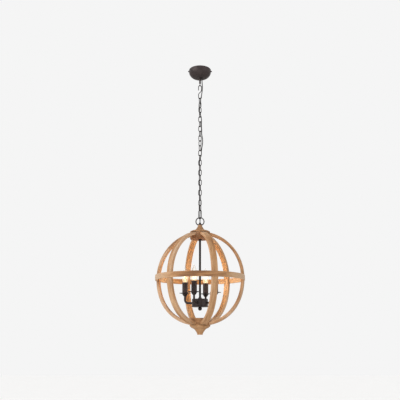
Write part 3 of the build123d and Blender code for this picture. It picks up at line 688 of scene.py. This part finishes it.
# knurled heads of the canopy's thumb screws
knurlSizes = {"Count": 22, "Radius": 3.5 * mm, "Tooth": Vector((0.7 * mm, 0.45 * mm, 4.4 * mm)),
              "Turn": Vector((0.0, pi / 2, 0.0)), "Centre": Vector(), "Paint": canopyPaintAndReflection}
knurlTree, sizes = newTree("knurl", knurlSizes)
loop = addNode(knurlTree, "GeometryNodeCurvePrimitiveCircle", {
    "Resolution": 44, "Radius": sizes["Radius"]})
spots = addNode(knurlTree, "GeometryNodeCurveToPoints", {
    "Curve": loop.outputs[0], "Count": sizes["Count"]})
tooth = addNode(knurlTree, "GeometryNodeMeshCube", {"Size": sizes["Tooth"]})
placed = addNode(knurlTree, "GeometryNodeInstanceOnPoints", {
    "Points": spots.outputs["Points"], "Instance": tooth.outputs[0],
    "Rotation": spots.outputs["Rotation"]})
laid = addNode(knurlTree, "GeometryNodeTransform", {
    "Geometry": placed.outputs[0], "Rotation": sizes["Turn"], "Translation": sizes["Centre"]})
finishTree(knurlTree, laid.outputs[0], sizes["Paint"])
halfHead = 2.75 * mm  # of a thumb screw's head, along the screw
screwLow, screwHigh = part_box("canopy_screws")
for sideName, x in (("left", screwLow.x + halfHead), ("right", screwHigh.x - halfHead)):
    grow(knurlTree, {**knurlSizes, "Centre": Vector((x, 0, (screwLow.z + screwHigh.z) / 2))},
         f"knurl_{sideName}", "ceiling")
print("knurled thumb screws")

# light: soft studio light, and the four lit coils
bulbLight = {"power": 0.30, "colour": (1.0, 0.64, 0.29), "radius": 7 * mm, "height": 30 * mm}
for number, centre in enumerate(bulbSpots, 1):
    glow = bpy.data.lights.new(f"bulbLight_{number}", "POINT")
    glow.energy = bulbLight["power"]
    glow.color = bulbLight["colour"]
    glow.shadow_soft_size = bulbLight["radius"]
    lamp = bpy.data.objects.new(f"bulbLight_{number}", glow)
    lamp.location = centre + Vector((0, 0, bulbLight["height"]))
    lamp.visible_camera = False
    lamp.visible_transmission = False
    lamp.visible_glossy = False
    scene.collection.objects.link(lamp)

studio = {
    "key": {"at": (-2.6, -1.9, 0.3), "size": 2.0, "power": 62.0},
    "fill": {"at": (2.6, -1.6, -0.8), "size": 2.2, "power": 9.0},
    "side": {"at": (2.2, -2.1, 0.4), "size": 1.4, "power": 9.0},
    "below": {"at": (-0.4, -1.6, -2.2), "size": 1.6, "power": 8.0},
}
for name, light in studio.items():
    data = bpy.data.lights.new(name, "AREA")
    data.shape = "DISK"
    data.size = light["size"]
    data.energy = light["power"]
    lamp = bpy.data.objects.new(name, data)
    lamp.location = light["at"]
    aim = Vector((0, 0, ringZ)) - lamp.location
    lamp.rotation_euler = aim.to_track_quat("-Z", "Y").to_euler()
    scene.collection.objects.link(lamp)

surround = {"seen": 0.913, "soft": (1.0, 0.99, 0.975), "power": 0.55}
world = bpy.data.worlds.new("studio")
scene.world = world
world.use_nodes = True
tree = world.node_tree
tree.nodes.clear()
rays = addNode(tree, "ShaderNodeLightPath").outputs
seen = calc(tree, "MINIMUM", 1.0, calc(tree, "ADD", rays["Is Camera Ray"],
            calc(tree, "ADD", rays["Is Glossy Ray"], rays["Is Transmission Ray"])))
pale = addNode(tree, "ShaderNodeBackground", {"Color": (*[surround["seen"]] * 3, 1), "Strength": 1.0})
soft = addNode(tree, "ShaderNodeBackground", {
    "Color": (*surround["soft"], 1), "Strength": surround["power"]})
mixed = addNode(tree, "ShaderNodeMixShader", {0: seen, 1: soft.outputs[0], 2: pale.outputs[0]})
tree.links.new(mixed.outputs[0], tree.nodes.new("ShaderNodeOutputWorld").inputs[0])

paleFloor = {"half": 14.0, "height": -2.6, "dark": 0.86, "light": 0.89, "seen": 0.4}
floorMesh = bpy.data.meshes.new("floor")
floorCorners = [(side * paleFloor["half"], end * paleFloor["half"], paleFloor["height"])
                for side, end in ((-1, -1), (1, -1), (1, 1), (-1, 1))]
floorMesh.from_pydata(floorCorners, [], [(0, 1, 2, 3)])
floorMaterial, tree, shader = newMaterial("paleFloor")
clouds = noise(tree, objectPlace(tree), (3.0, 3.0, 3.0))
toCamera = addNode(tree, "ShaderNodeLightPath").outputs["Is Camera Ray"]
plug(tree, shader, Roughness=0.8, Emission_Color=(1, 1, 1, 1),
     Base_Color=ramp(tree, clouds, [(0.3, [paleFloor["dark"]] * 3), (0.7, [paleFloor["light"]] * 3)]),
     Emission_Strength=calc(tree, "MULTIPLY", paleFloor["seen"], toCamera))
floorMesh.materials.append(floorMaterial)
floor = bpy.data.objects.new("floor", floorMesh)
scene.collection.objects.link(floor)

scene.view_settings.view_transform = "Standard"
print("studio light and floor")
